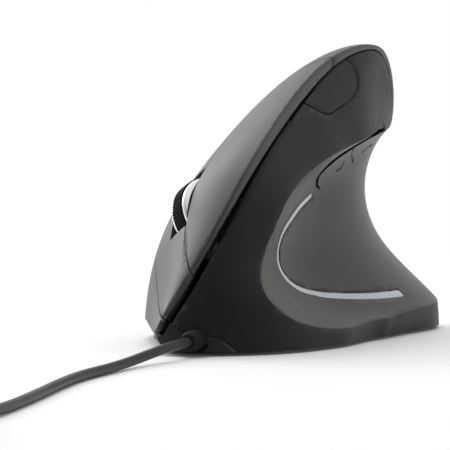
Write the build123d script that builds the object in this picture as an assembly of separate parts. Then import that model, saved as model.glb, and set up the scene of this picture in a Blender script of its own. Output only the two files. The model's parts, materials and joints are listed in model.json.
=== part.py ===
from build123d import *
import os
from math import atan2, cos, degrees, hypot, pi, radians, sin, sqrt, tan

# Vertical ergonomic mouse for the right hand, with its cord.
# +Y is the front, where the cord leaves, +X the finger side, -X the thumb side, +Z up.
# Millimetres; the origin is on the desk, under the middle of the mouse.

# Overall size of the housing
mouse_length = 120.0
mouse_width = 64.0
mouse_height = 75.0

# Walls, seams and fits
shell_wall = 2.2
seam_gap = 0.4
piece_gap = 0.15
foot_height = 0.8
base_thickness = 2.2
base_gap = 0.3
chin_wall = 3.3
chin_press_gap = 0.95
foot_round_width = 6.0
foot_round_height = 4.7
skate_inset = 4.4
skate_width = 6.0
side_button_proud = 0.15

# Main buttons, hinged at their rear edge
button_rear_y = -2.5
tongue_length = 4.0
tongue_thickness = 1.0
tongue_gap = 0.7
contact_gap = 0.1
boss_radius = 2.0

# Small buttons on the thumb side, pressed straight in
small_button_gap = 0.35
side_button_rear_gap = 0.8
side_button_front_gap = 1.6
side_button_foot_gap = 0.15

# Scroll wheel
wheel_radius = 10.5
wheel_width = 6.4
tyre_width = 4.2
tyre_depth = 2.4
rim_drop = 0.3
rib_count = 32
rib_slot_width = 0.8
rib_slot_depth = 0.6
wheel_stand_out = 3.0
slot_clearance = 0.9
slot_end_clearance = 0.4
axle_radius = 1.1
axle_fit = 0.06
carrier_arm = 1.5
carrier_side_gap = 1.0
carrier_reach = 13.5
carrier_half_depth = 2.2
encoder_size = (11.0, 3.0, 9.0)

# Switches and boards
switch_size = (12.8, 5.8, 6.5)
tact_size = (6.0, 6.0, 3.1)
plunger_radius = 0.9
plunger_rise = 0.9
plunger_fit = 0.05
board_thickness = 1.6
board_clearance = 1.0
main_board_z = 7.0
button_board_depth = 14.0
side_board_x = -6.4

# Cord
cord_diameter = 2.4
coil_gap = 0.5
coil_half_turns = 7
coil_layers = 4
coil_inner_radius = 8.8
coil_lift = 0.6
tie_width = 6.0
tie_thickness = 0.45
relief_radius = 2.6
relief_tip_radius = 1.8
cord_height = 3.9

# Screws
screw_radius = 1.0
screw_head_radius = 1.9
screw_head_height = 1.0
post_radius = 2.8

# Where the middle of the housing's box lies in the coordinates that the pieces are drawn in
drawn_centre_x = -1.56
drawn_centre_y = -2.24

# The outline was drawn for a housing 64 wide, 120 long and 75 high
wide = mouse_width / 64
long = mouse_length / 120
tall = mouse_height / 75

# The housing is lofted through ribs that stand in planes fanned about a sideways axis below the desk
fan_axis_z = -25.0
rib_foot_radius = 16.0

# One row a rib: ridge point (x, y, z), two handles and the foot on the finger side, the same on the
# thumb side, each as (x, distance from the fan axis), then the width of the finger panels' edge and
# of the seam beside it, both seen from the thumb side
ribs = [
    ((10.5, 59.5, -14.0), (14.5, 59.0), (21.0, 44.0), 25.0, (-4.0, 61.0), (-25.5, 54.0), -26.0, 1.2, 2.2),
    ((10.5, 58.5, 0.0), (12.6, 61.8), (19.5, 45.0), 25.0, (-4.0, 65.0), (-26.5, 56.0), -26.0, 1.2, 2.2),
    ((8.8, 55.0, 8.7), (11.6, 62.6), (19.3, 45.5), 25.5, (-6.0, 66.5), (-27.5, 55.0), -26.5, 1.25, 2.3),
    ((5.2, 53.0, 15.7), (12.0, 64.3), (19.8, 46.0), 26.5, (-9.0, 67.5), (-28.5, 54.0), -26.0, 1.5, 2.2),
    ((-2.5, 46.5, 31.4), (13.3, 69.3), (23.0, 47.5), 29.0, (-8.0, 65.5), (-33.0, 51.0), -26.0, 1.3, 1.9),
    ((-7.2, 38.0, 44.3), (12.3, 76.0), (27.0, 51.5), 30.0, (-11.0, 66.0), (-34.0, 50.0), -26.0, 2.1, 1.5),
    ((-11.2, 20.0, 59.1), (4.5, 83.5), (31.0, 58.0), 30.5, (-13.0, 68.0), (-35.0, 48.0), -26.0, 3.1, 1.2),
    ((-14.5, 5.0, 68.2), (-0.5, 90.3), (32.5, 62.0), 30.5, (-15.0, 69.0), (-36.5, 48.0), -26.0, 3.1, 1.0),
    ((-18.1, -8.0, 73.2), (-5.5, 99.2), (33.0, 66.0), 30.5, (-15.0, 70.0), (-39.0, 48.0), -26.0, 2.1, 0.6),
    ((-21.4, -20.0, 74.7), (-9.5, 104.5), (33.0, 72.0), 30.5, (-15.0, 72.0), (-41.5, 49.0), -26.0, 1.2, 0.4),
    ((-21.8, -33.0, 72.0), (-8.0, 105.5), (32.5, 74.0), 30.5, (-15.0, 72.0), (-44.0, 50.0), -25.0, 1.4, 0.4),
    ((-20.0, -46.0, 59.0), (-3.0, 99.0), (32.5, 72.0), 30.0, (-17.0, 74.0), (-46.5, 52.5), -24.0, 1.8, 0.4),
    ((-14.0, -54.5, 42.0), (2.0, 88.0), (31.0, 66.0), 29.5, (-20.0, 76.0), (-48.5, 55.5), -22.5, 2.0, 0.4),
    ((-8.0, -58.5, 24.0), (8.0, 77.0), (30.0, 60.0), 28.5, (-22.0, 74.0), (-49.5, 57.5), -21.5, 2.0, 0.4),
    ((-5.0, -60.0, 8.0), (10.0, 69.0), (28.5, 54.0), 27.5, (-24.0, 70.0), (-48.0, 57.0), -21.5, 2.0, 0.4),
    ((-4.0, -60.0, -14.0), (10.0, 61.5), (27.0, 48.0), 26.0, (-22.0, 62.0), (-38.0, 50.0), -24.0, 2.0, 0.4),
]
far_side = 70.0
far_reach = 130.0
edge_overshoot = 3.0
thumb_overshoot = 6.0

# The thumb scoop: at each place along the mouse, the hollow's outline (x, z) from the lip to the upper edge
scoop_outlines = [
    (62.0, [(-16.6, 5.8), (-12.0, 11.0), (-9.6, 20.0), (-11.8, 29.0), (-15.8, 38.0), (-27.0, 47.0)]),
    (25.0, [(-23.0, 6.2), (-16.9, 10.8), (-12.0, 19.5), (-12.2, 29.5), (-14.8, 38.5), (-24.0, 46.5)]),
    (-10.0, [(-29.5, 6.2), (-23.0, 11.0), (-16.8, 19.0), (-13.6, 30.0), (-13.8, 40.0), (-20.0, 49.0)]),
    (-42.0, [(-33.4, 6.8), (-27.4, 11.6), (-17.8, 21.4), (-13.7, 31.0), (-13.5, 40.5), (-19.5, 52.5)]),
    (-60.0, [(-28.5, 7.2), (-21.8, 12.6), (-11.4, 23.5), (-6.5, 33.0), (-5.5, 42.0), (-12.0, 54.5)]),
    (-80.0, [(-18.0, 7.4), (-10.0, 14.6), (1.0, 26.0), (8.0, 35.0), (9.5, 43.0), (4.0, 55.5)]),
]
scoop_reach_x = -60.0

# The wheel's slot on the finger side: its middle, the way the wheel rolls and the way it stands out
slot_middle = Vector(10.4 * wide, 31.7 * long, 35.7 * tall)
roll_direction = Vector(0, 0.71, -0.70).normalized()
slot_outward = Vector(0.66, 0.53, 0.54).normalized()
finger_plane = Plane(origin=slot_middle, x_dir=roll_direction, z_dir=slot_outward)

# Seams of the finger side, drawn in the finger plane as (along the roll, up towards the ridge)
button_split = [(30.0, 9.4), (25.6, 7.9), (19.9, 6.1), (14.2, 4.4), (9.0, 3.8), (-9.5, 3.8), (-26.0, 3.0), (-80.0, 0.0)]
right_button_foot = [(40.0, 4.6), (33.6, -1.8), (24.6, -8.4), (16.5, -12.9), (8.0, -15.8), (-12.0, -19.0), (-80.0, -24.0)]

# Outlines on the thumb side, drawn from the side as (y, z)
dpi_outline = [(12.0, 60.6), (6.5, 58.6), (1.5, 57.4), (-3.5, 58.7), (-11.0, 61.6), (-13.7, 65.0), (-11.6, 69.1),
               (-7.9, 71.4)]
side_button_top = [(-36.0, 52.4), (-26.0, 51.8), (-19.0, 50.5), (-12.5, 48.3), (-6.4, 45.8), (-2.1, 43.2)]
side_button_nose = [(-0.3, 41.4), (-1.2, 39.4), (-4.2, 37.9)]
side_button_foot = [(-12.0, 41.0), (-20.0, 43.8), (-36.0, 46.6)]
side_button_split = [(5.8, 56.0), (-30.0, 40.0)]
side_button_rear_y = -32.0
# Seam of the chin, the base's front edge turned up, drawn from the front as (x, z)
chin_seam = [(-9.6, 1.2), (-6.0, 4.2), (-3.5, 4.9), (3.1, 5.6), (6.3, 7.9), (7.9, 4.7), (10.7, 6.2), (40.0, 5.0)]
chin_rear_y = 38.0
foot_line = [(10.7, 54.1), (22.1, 27.3)]
nose_outline = [(43.5, 6.4), (53.6, 9.6), (62.0, 8.8), (62.0, 4.6), (50.0, 4.8)]
accent_line = [(1.3, 36.6), (9.8, 34.0), (18.1, 30.9), (25.0, 27.1), (27.0, 23.0), (25.8, 19.2), (22.1, 15.8),
               (14.6, 13.1), (1.3, 11.3), (-11.5, 10.5), (-26.9, 10.3)]
accent_width_start = 1.2
accent_width_end = 1.55
accent_depth = 1.0
accent_recess = 0.05


def fan_point(angle, x, reach):
    return Vector(x, reach * cos(angle), fan_axis_z + reach * sin(angle))


def inset_legs(corners, inset):
    """Move each leg of an open outline to its right by an inset; return the new corners and unit normals."""
    legs = []
    for (ax, ay), (bx, by) in zip(corners, corners[1:]):
        size = hypot(bx - ax, by - ay)
        legs.append(((bx - ax) / size, (by - ay) / size))
    normals = [(uy, -ux) for ux, uy in legs]
    moved = [(corners[0][0] + normals[0][0] * inset, corners[0][1] + normals[0][1] * inset)]
    for (px, py), (ax, ay), (bx, by) in zip(corners[1:-1], normals, normals[1:]):
        scale = inset / (1 + ax * bx + ay * by)
        moved.append((px + (ax + bx) * scale, py + (ay + by) * scale))
    (ux, uy), (nx, ny) = legs[-1], normals[-1]
    px, py = corners[-1]
    moved.append((px + nx * inset - ux * ny * inset / uy, py))
    return moved, normals


def rib_wire(rib, pieces):
    """Turn straight and curved pieces in a rib's plane into a closed wire."""
    x, y, z = rib[0]
    angle = atan2(z - fan_axis_z, y)
    edges = []
    for piece in pieces:
        points = [fan_point(angle, *corner) for corner in piece]
        points = [Vector(p.X * wide, p.Y * long, p.Z * tall) for p in points]
        edges.append(Edge.make_line(*points) if len(points) == 2 else Edge.make_bezier(*points))
    return Wire(edges)


def rib_sides(rib):
    (x, y, z), finger_1, finger_2, finger_foot, thumb_1, thumb_2, thumb_foot, strip, seam = rib
    crest = (x, hypot(z - fan_axis_z, y))
    finger = [crest, finger_1, finger_2, (finger_foot, rib_foot_radius)]
    thumb = [crest, thumb_1, thumb_2, (thumb_foot, rib_foot_radius)]
    return finger, thumb


def housing():
    """The whole housing without the scoop."""
    wires = []
    for rib in ribs:
        finger, thumb = rib_sides(rib)
        wires.append(rib_wire(rib, [finger, [finger[-1], thumb[-1]], thumb[::-1]]))
    return Solid.make_loft(wires)


def inside_fingers(depth, seam_share, spare=0.0):
    """All that lies behind the finger panels: deeper than depth, and past their edge on the thumb side."""
    wires = []
    for rib in ribs:
        finger, thumb = rib_sides(rib)
        strip, seam = rib[-2:]
        inner, normals = inset_legs(finger, depth)
        size = hypot(thumb[1][0] - thumb[0][0], thumb[1][1] - thumb[0][1])
        tx, ty = (thumb[1][0] - thumb[0][0]) / size, (thumb[1][1] - thumb[0][1]) / size
        width = strip + seam * seam_share + spare
        edge = (thumb[0][0] + tx * width, thumb[0][1] + ty * width)
        corner = (edge[0] - ty * depth, edge[1] + tx * depth)
        outer = (edge[0] + ty * edge_overshoot, edge[1] - tx * edge_overshoot)
        far_top = (-far_side, far_reach)
        far_foot = (-far_side, rib_foot_radius)
        wires.append(rib_wire(rib, [[outer, corner], [corner] + inner[1:], [inner[-1], far_foot],
                                    [far_foot, far_top], [far_top, outer]]))
    return Solid.make_loft(wires)


def inside_thumb(depth):
    """All that lies deeper than depth behind the thumb side."""
    wires = []
    for rib in ribs:
        finger, thumb = rib_sides(rib)
        inner, normals = inset_legs(thumb, -depth)
        size = hypot(thumb[1][0] - thumb[0][0], thumb[1][1] - thumb[0][1])
        tx, ty = (thumb[1][0] - thumb[0][0]) / size, (thumb[1][1] - thumb[0][1]) / size
        outer = (inner[0][0] - tx * thumb_overshoot, inner[0][1] - ty * thumb_overshoot)
        far_top = (far_side, far_reach)
        far_foot = (far_side, rib_foot_radius)
        wires.append(rib_wire(rib, [[outer, far_top], [far_top, far_foot], [far_foot, inner[-1]],
                                    inner[::-1], [inner[0], outer]]))
    return Solid.make_loft(wires)


def scoop(inset=0.0):
    """The hollow for the thumb, grown into the housing by an inset."""
    wires = []
    for y, outline in scoop_outlines:
        grown = []
        for i, (x, z) in enumerate(outline):
            before = outline[max(i - 1, 0)]
            after = outline[min(i + 1, len(outline) - 1)]
            size = hypot(after[0] - before[0], after[1] - before[1])
            grown.append((x + (after[1] - before[1]) / size * inset, z - (after[0] - before[0]) / size * inset))
        points = [Vector(x * wide, y * long, z * tall) for x, z in grown]
        low = points[0] + Vector(-12 * wide, 0, -2.5 * tall)
        high = points[-1] + Vector(-9 * wide, 0, 4.4 * tall)
        low_far = Vector(scoop_reach_x * wide, low.Y, low.Z - 6 * tall)
        high_far = Vector(scoop_reach_x * wide, high.Y, high.Z + 12 * tall)
        face_edge = Edge.make_spline([low] + points + [high])
        wires.append(Wire([face_edge] + Wire.make_polygon([high, high_far, low_far, low], close=False).edges()))
    return Solid.make_loft(wires)


def span(x0, x1, y0, y1, z0, z1, plane=Plane.XY):
    """A box between two corners, in a plane's own coordinates."""
    middle = Pos((x0 + x1) / 2, (y0 + y1) / 2, (z0 + z1) / 2)
    return plane.location * middle * Box(x1 - x0, y1 - y0, z1 - z0)


def largest(shape):
    return max(shape.solids(), key=lambda solid: solid.volume)


def side_prism(edges, x0, x1):
    """A prism along X over an outline whose edges lie in the plane X = 0."""
    return Pos(x0, 0, 0) * Solid.extrude(Face(Wire(edges)), Vector(x1 - x0, 0, 0))


def side_point(y, z):
    return Vector(0, y * long, z * tall)


def chain(points):
    return Wire.make_polygon(points, close=False).edges()


# Surfaces of the housing; the foot of the finger side is rounded along a straight line at its front
reach = 200.0
(line_x, line_y), (line_end_x, line_end_y) = foot_line
foot_way = Vector((line_end_x - line_x) * wide, (line_end_y - line_y) * long, 0).normalized()
foot_plane = Plane(origin=(line_x * wide, line_y * long, foot_height), x_dir=(-foot_way.Y, foot_way.X, 0), z_dir=foot_way)
round_start = Vector(0, foot_round_height, -12)
round_middle = Vector(-0.293 * foot_round_width, 0.293 * foot_round_height, -12)
round_end = Vector(-foot_round_width, 0, -12)
round_corners = [round_end, Vector(-foot_round_width, -5, -12), Vector(5, -5, -12), Vector(5, foot_round_height, -12),
                 round_start]
round_wire = Wire([Edge.make_three_point_arc(round_start, round_middle, round_end)] + chain(round_corners))
foot_corner = foot_plane.location * Solid.extrude(Face(round_wire), Vector(0, 0, 90))
above_skirt = span(-reach, reach, -reach, reach, foot_height, reach)
body = largest((housing() & above_skirt) - scoop() - foot_corner)
behind_panels = inside_fingers(shell_wall, 0.0)
behind_seam = inside_fingers(shell_wall + piece_gap, 1.0)
thumb_core = inside_thumb(shell_wall)
scoop_back = scoop(shell_wall)

finger_skin = body - behind_panels
seam_wall = (body & behind_seam) - (thumb_core - scoop_back)
thumb_shell = largest(seam_wall)
cavity_inset = shell_wall + board_clearance
inside = (inside_fingers(cavity_inset, 0.0, board_clearance) & inside_thumb(cavity_inset)) - scoop(cavity_inset)
print("housing", round(body.volume), "finger skin", round(finger_skin.volume), "thumb", round(thumb_shell.volume))


# Finger side: two buttons and the palm shell
def finger_zone(lower, upper, lower_shift, upper_shift, rear_y):
    """What lies between two seams drawn in the finger plane, in front of rear_y."""
    low = [finger_plane.from_local_coords(Vector(x, y + lower_shift, -60)) for x, y in lower]
    high = [finger_plane.from_local_coords(Vector(x, y + upper_shift, -60)) for x, y in upper]
    wire = Wire([Edge.make_spline(low), Edge.make_line(low[-1], high[-1]), Edge.make_spline(high),
                 Edge.make_line(high[0], low[0])])
    zone = Solid.extrude(Face(wire), finger_plane.z_dir * 120)
    return zone & span(-reach, reach, rear_y, reach, -reach, reach)


half_gap = seam_gap / 2
ridge_side = [(x, 60.0) for x, y in button_split]
slot_floor = wheel_radius - wheel_stand_out - shell_wall - 0.9
slot_length = 2 * sqrt(wheel_radius**2 - slot_floor**2) + 2 * slot_end_clearance
slot_width = wheel_width + 2 * slot_clearance
slot = span(-slot_length / 2, slot_length / 2, -slot_width / 2, slot_width / 2, -10, 10, finger_plane)
rear_y = button_rear_y * long
left_zone = finger_zone(button_split, ridge_side, half_gap, 0, rear_y + half_gap)
right_zone = finger_zone(right_button_foot, button_split, half_gap, -half_gap, rear_y + half_gap)
both_zone = finger_zone(right_button_foot, ridge_side, -half_gap, 0, rear_y - half_gap)

left_button = largest((finger_skin & left_zone) - slot)
right_button = largest((finger_skin & right_zone) - slot)
palm_shell = largest(finger_skin - both_zone)

# Each main button has a tongue that reaches back under the palm shell
tongue_top = inside_fingers(shell_wall + tongue_gap, 0.0)
tongue_floor = inside_fingers(shell_wall + tongue_gap + tongue_thickness, 0.0)
tongue_y = (rear_y - tongue_length, rear_y + 7)
rear_half = span(-reach, reach, -reach, rear_y + half_gap, 0, reach)


def tongue(y0, y1):
    block = span(-80, 10, y0, y1, -40, 10, finger_plane) & span(-reach, reach, *tongue_y, 0, reach)
    layer = (block & behind_panels) - tongue_floor
    return layer - ((layer & rear_half) - tongue_top)


left_button = largest(left_button + tongue(4.5, 7.5))
right_button = largest(right_button + tongue(-15, -3))

# Switches under the main buttons stand on the button board: middle (along, up), size along and up
board_top = -button_board_depth
switch_top = board_top + switch_size[2]
left_switch_at = (4.0, 9.7)
right_switch_at = (18.4, -3.0)
middle_switch_at = (14.2, 7.0)
left_switch_body = (switch_size[0], switch_size[1])
right_switch_body = (switch_size[1], switch_size[0])
contact = switch_top + plunger_rise + contact_gap


def button_boss(at):
    shaft = finger_plane.location * Pos(at[0], at[1], contact) * Cylinder(
        boss_radius, 20, align=(Align.CENTER, Align.CENTER, Align.MIN))
    return shaft & behind_panels & span(-40, 40, -40, 40, -40, 2, finger_plane)


left_button = largest(left_button + button_boss(left_switch_at))
right_button = largest(right_button + button_boss(right_switch_at))


def placed(solid, plane=Plane.XY):
    return plane.location * solid


def switch(at, body, height, plane):
    """A switch standing on a plane's own z = base; returns the case and its plunger."""
    x, y, base = at
    case = span(x - body[0] / 2, x + body[0] / 2, y - body[1] / 2, y + body[1] / 2, base, base + height)
    sunk = height * 0.5
    well = Pos(x, y, base + sunk) * Cylinder(plunger_radius + plunger_fit, height,
                                            align=(Align.CENTER, Align.CENTER, Align.MIN))
    rest = plunger_rise + 0.3
    plunger = Pos(x, y, base + sunk + rest) * Cylinder(plunger_radius, height - sunk - rest + plunger_rise,
                                                       align=(Align.CENTER, Align.CENTER, Align.MIN))
    return placed(case - well, plane), placed(plunger, plane)


left_switch, left_plunger = switch((*left_switch_at, board_top), left_switch_body, switch_size[2], finger_plane)
right_switch, right_plunger = switch((*right_switch_at, board_top), right_switch_body, switch_size[2], finger_plane)
middle_switch, middle_plunger = switch((*middle_switch_at, board_top), tact_size[:2], tact_size[2], finger_plane)

# Scroll wheel, in the finger plane: its axle lies along the plane's y
wheel_z = wheel_stand_out - wheel_radius


def axle_disc(radius, y0, y1, x=0.0, z=wheel_z):
    disc = Pos(x, (y0 + y1) / 2, z) * Rot(90, 0, 0) * Cylinder(radius, y1 - y0)
    return placed(disc, finger_plane)


tyre_inner = wheel_radius - tyre_depth
axle_ends = (-wheel_width / 2 - carrier_side_gap - carrier_arm - 2.4, wheel_width / 2 + carrier_side_gap + carrier_arm)
wheel_tyre = axle_disc(wheel_radius, -tyre_width / 2, tyre_width / 2) - axle_disc(tyre_inner, -5, 5)
ribs_cut = []
for i in range(rib_count):
    cutter = Rot(0, 360 * i / rib_count, 0) * Pos(0, 0, wheel_radius) * Box(rib_slot_width, 10, 2 * rib_slot_depth)
    ribs_cut.append(placed(Pos(0, 0, wheel_z) * cutter, finger_plane))
wheel_tyre = wheel_tyre - ribs_cut
wheel_hub = axle_disc(tyre_inner, -tyre_width / 2, tyre_width / 2)
for side in (-1, 1):
    low, high = sorted((side * tyre_width / 2, side * wheel_width / 2))
    wheel_hub = wheel_hub + axle_disc(wheel_radius - rim_drop, low, high)
wheel_hub = wheel_hub - axle_disc(axle_radius, -10, 10)
wheel_axle = axle_disc(axle_radius, *axle_ends)

# The carrier is a frame round the wheel; it tips about its rear bar for the middle click
arm_y = wheel_width / 2 + carrier_side_gap
bar_y = arm_y + carrier_arm
carrier_z = (wheel_z - carrier_half_depth, wheel_z + carrier_half_depth)
carrier = span(-carrier_reach - 1.6, carrier_reach + 0.6, -bar_y, bar_y, *carrier_z)
carrier = carrier - span(-carrier_reach + 1.6, carrier_reach - 1.2, -arm_y, arm_y, -40, 10)
middle_contact = board_top + tact_size[2] + plunger_rise + contact_gap
carrier = carrier + span(middle_switch_at[0] - 1.6, middle_switch_at[0] + 1.2, arm_y, middle_switch_at[1] + 1.4,
                         middle_contact, middle_contact + 2.4)
carrier = placed(carrier, finger_plane)
pivot_x = -carrier_reach
pivot_radius = 1.2
carrier = carrier + axle_disc(pivot_radius, -bar_y - 1.8, bar_y + 1.8, pivot_x)
wheel_carrier = largest(carrier - axle_disc(axle_radius + axle_fit, *axle_ends))

encoder_y = (-bar_y - encoder_size[1], -bar_y)
encoder = span(-encoder_size[0] / 2, encoder_size[0] / 2, *encoder_y,
               wheel_z - encoder_size[2] / 2 - 0.5, wheel_z + encoder_size[2] / 2 - 0.5)
encoder = (placed(encoder, finger_plane) & inside) - axle_disc(axle_radius + axle_fit, -20, 0)

# Button board with the wheel's opening, and the bracket that carries it
board = span(-23, 27, -15, 14, board_top - board_thickness, board_top, finger_plane) & inside
board = board & span(-reach, reach, -reach, reach, foot_height + base_thickness + 2.5, reach)
opening = span(-12, 10.6, encoder_y[0] - 0.8, bar_y + 0.7, -40, 0, finger_plane)
button_board = largest(board - opening)
lug_outer = bar_y + 1.8
lugs = []
for side in (-1, 1):
    low, high = sorted((side * (bar_y + 0.25), side * lug_outer))
    lug = span(pivot_x - 2.4, pivot_x + 2.4, low, high, board_top, wheel_z + 2.4, finger_plane)
    lugs.append((lug & inside) - axle_disc(pivot_radius + axle_fit, -20, 20, pivot_x))

under_board = span(-100, 100, -100, 100, -200, board_top - board_thickness - 0.03, finger_plane)
floor_z = foot_height + base_thickness
rear_plate = span(-30, 30, 9.5, 11.1, floor_z, 80)
front_plate = span(-30, 30, 38.0, 39.6, floor_z, 80)
plates = ((rear_plate + front_plate) & inside) & under_board
tread = span(-1, 7, 9.5, 39.6, floor_z, floor_z + board_thickness)
lead_room = span(-9.5, -0.7, 8, 12, floor_z, 12.5) + span(-12, -1.8, 37, 41, floor_z, 20)
button_bracket = largest(plates + tread - lead_room)

# Base plate, skates and what stands on the base
base_zone = inside_fingers(shell_wall + base_gap, 0.0, base_gap) & inside_thumb(shell_wall + base_gap)
base_slab = span(-reach, reach, -reach, reach, foot_height, floor_z)
base_plate = (base_zone & base_slab) - foot_corner
tabs = []
for y in (-36.0, 24.0):
    tabs.append(span(-reach, reach, y - 4, y + 4, foot_height, floor_z))
cavity_floor = behind_panels & thumb_core & base_slab
base_plate = base_plate + [tab & cavity_floor for tab in tabs]

board_posts = [(-9.0, -33.0), (9.0, -33.0), (-9.0, -3.0), (9.0, -3.0)]
for x, y in board_posts:
    post = Pos(x, y, floor_z) * Cylinder(post_radius - 0.4, main_board_z - floor_z,
                                         align=(Align.CENTER, Align.CENTER, Align.MIN))
    base_plate = base_plate + post

sensor_at = (0.0, -17.0)
sensor_opening = span(sensor_at[0] - 5, sensor_at[0] + 5, sensor_at[1] - 4, sensor_at[1] + 4, 0, floor_z)
base_plate = base_plate - sensor_opening
main_board = (span(-13, 14, -37, 5, main_board_z, main_board_z + board_thickness)) & inside
board_top_z = main_board_z + board_thickness
lens_foot = span(sensor_at[0] - 4.6, sensor_at[0] + 4.6, sensor_at[1] - 3.6, sensor_at[1] + 3.6, 1.5, floor_z)
lens_body = span(sensor_at[0] - 7, sensor_at[0] + 7, sensor_at[1] - 5, sensor_at[1] + 5, floor_z, main_board_z)
sensor_lens = lens_foot + lens_body
sensor_chip = span(sensor_at[0] - 5, sensor_at[0] + 5, sensor_at[1] - 6, sensor_at[1] + 6, board_top_z, board_top_z + 2.4)
sensor_led = Pos(sensor_at[0], sensor_at[1] + 9, board_top_z) * Cylinder(
    1.5, 4.2, align=(Align.CENTER, Align.CENTER, Align.MIN))
sensor_led = sensor_led + span(sensor_at[0] - 1.9, sensor_at[0] + 1.9, sensor_at[1] + 7.1, sensor_at[1] + 10.9,
                               board_top_z, board_top_z + 0.8)
cable_connector = span(-5, 5, 0, 4.4, board_top_z, board_top_z + 4.2)


def skate(y0, y1):
    outer = inside_fingers(shell_wall + skate_inset, 0.0) & inside_thumb(shell_wall + skate_inset)
    inset = shell_wall + skate_inset + skate_width
    inner = inside_fingers(inset, 0.0) & inside_thumb(inset)
    slab = span(-reach, reach, y0, y1, 0, foot_height)
    return largest((outer & slab) - inner)


front_skate = skate(36 * long, reach)
rear_skate = skate(-reach, -40 * long)

# Screws up through the base into posts of the two shells, and down through the main board
thumb_posts = [(-20.0, -28.0), (-14.5, 29.0)]
palm_posts = [(18.0, -36.0), (15.0, 16.0)]


def screw(x, y, z0, length, up):
    """A pan head with its shank; the head's outer face is at z0."""
    align = (Align.CENTER, Align.CENTER, Align.MIN if up else Align.MAX)
    way = 1 if up else -1
    head = Pos(x, y, z0) * Cylinder(screw_head_radius, screw_head_height, align=align)
    shank = Pos(x, y, z0 + way * screw_head_height) * Cylinder(screw_radius, length, align=align)
    return head + shank


def post_bore(x, y, z0, z1):
    return Pos(x, y, z0) * Cylinder(screw_radius, z1 - z0, align=(Align.CENTER, Align.CENTER, Align.MIN))


thumb_cavity = thumb_core - scoop_back
base_screws = []
for x, y in thumb_posts:
    post = Pos(x, y, floor_z) * Cylinder(post_radius, 14, align=(Align.CENTER, Align.CENTER, Align.MIN))
    thumb_shell = thumb_shell + (post & thumb_cavity)
for x, y in palm_posts:
    post = Pos(x, y, floor_z) * Cylinder(post_radius, 9, align=(Align.CENTER, Align.CENTER, Align.MIN))
    web = span(x, x + 30, y - 0.8, y + 0.8, floor_z, floor_z + 9) & behind_panels
    palm_shell = palm_shell + ((post + web) & behind_panels)
for x, y in thumb_posts + palm_posts:
    base_screws.append(screw(x, y, foot_height + 0.2, 5.2, True))
    hole = post_bore(x, y, 0, foot_height + 0.2 + screw_head_height + 5.2)
    head_room = Pos(x, y, 0) * Cylinder(screw_head_radius + 0.2, foot_height + 0.2 + screw_head_height,
                                        align=(Align.CENTER, Align.CENTER, Align.MIN))
    base_plate = base_plate - hole - head_room
    thumb_shell = thumb_shell - hole
    palm_shell = palm_shell - hole
board_screws = []
for x, y in board_posts:
    board_screws.append(screw(x, y, board_top_z + screw_head_height, 4.6, False))
    hole = post_bore(x, y, board_top_z - 4.6, board_top_z)
    base_plate = base_plate - hole
    main_board = main_board - hole

# Side board: it hangs from two posts of the palm shell
side_board_right = side_board_x + board_thickness
under_tongues = inside_fingers(shell_wall + tongue_gap + tongue_thickness + board_clearance, 0.0)
side_board = span(side_board_x, side_board_right, -33, 7, 33, 66) & inside & under_tongues
side_plane = Plane(origin=(side_board_x, 0, 0), x_dir=(0, -1, 0), z_dir=(-1, 0, 0))
for y, z in ((-28.0, 50.0), (-15.0, 54.0)):
    post = Pos(side_board_right, y, z) * Rot(0, 90, 0) * Cylinder(2.4, 40, align=(Align.CENTER, Align.CENTER, Align.MIN))
    palm_shell = palm_shell + (post & behind_panels)

forward_at = (-7.5, 42.3)
back_at = (-20.0, 45.6)
dpi_at = (-1.5, 60.5)
side_contact = side_board_x - tact_size[2] - plunger_rise - contact_gap


def side_switch(at):
    y, z = at
    case, plunger = switch((-y, z, 0), tact_size[:2], tact_size[2], side_plane)
    return case, plunger


def side_boss(at):
    y, z = at
    return Pos(side_contact, y, z) * Rot(0, -90, 0) * Cylinder(
        1.6, 14, align=(Align.CENTER, Align.CENTER, Align.MIN))


forward_switch, forward_plunger = side_switch(forward_at)
back_switch, back_plunger = side_switch(back_at)
dpi_switch, dpi_plunger = side_switch(dpi_at)


# Openings and pieces of the thumb side
def grown(points, first, last=None):
    """Move an open outline's points to its left, by an amount that runs from first to last."""
    moved = []
    for i, (y, z) in enumerate(points):
        before, after = points[max(i - 1, 0)], points[min(i + 1, len(points) - 1)]
        size = hypot(after[0] - before[0], after[1] - before[1])
        amount = first if last is None else first + (last - first) * i / (len(points) - 1)
        moved.append((y - (after[1] - before[1]) / size * amount, z + (after[0] - before[0]) / size * amount))
    return moved


def smooth(points):
    return Edge.make_spline([side_point(*point) for point in points])


def dpi_zone(gap):
    lower = grown(dpi_outline, gap)
    closing = [side_point(*point) for point in (lower[-1], (-6.0 - gap, 75.0), (15.0, 64.0), lower[0])]
    return side_prism([smooth(lower)] + chain(closing), -45, -6)


def before_split(shift):
    """All of the thumb side in front of the slanted split between the side buttons."""
    (top_y, top_z), (low_y, low_z) = side_button_split
    outline = [(top_y + shift, top_z), (low_y + shift, low_z), (20.0, 30.0), (20.0, 56.0)]
    points = [side_point(*point) for point in outline]
    return side_prism(chain([*points, points[0]]), -45, -2)


def side_button_zone(rear_gap, front_gap, foot_gap, front, rear):
    top = grown(side_button_top, rear_gap, front_gap)
    nose = grown(side_button_nose, front_gap, foot_gap)
    foot = grown(side_button_foot, foot_gap)
    outline = [side_point(*point) for point in top + nose + foot]
    zone = side_prism(chain([*outline, outline[0]]), -45, -2)
    return zone & span(-reach, reach, rear * long, front * long, 0, reach)


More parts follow.
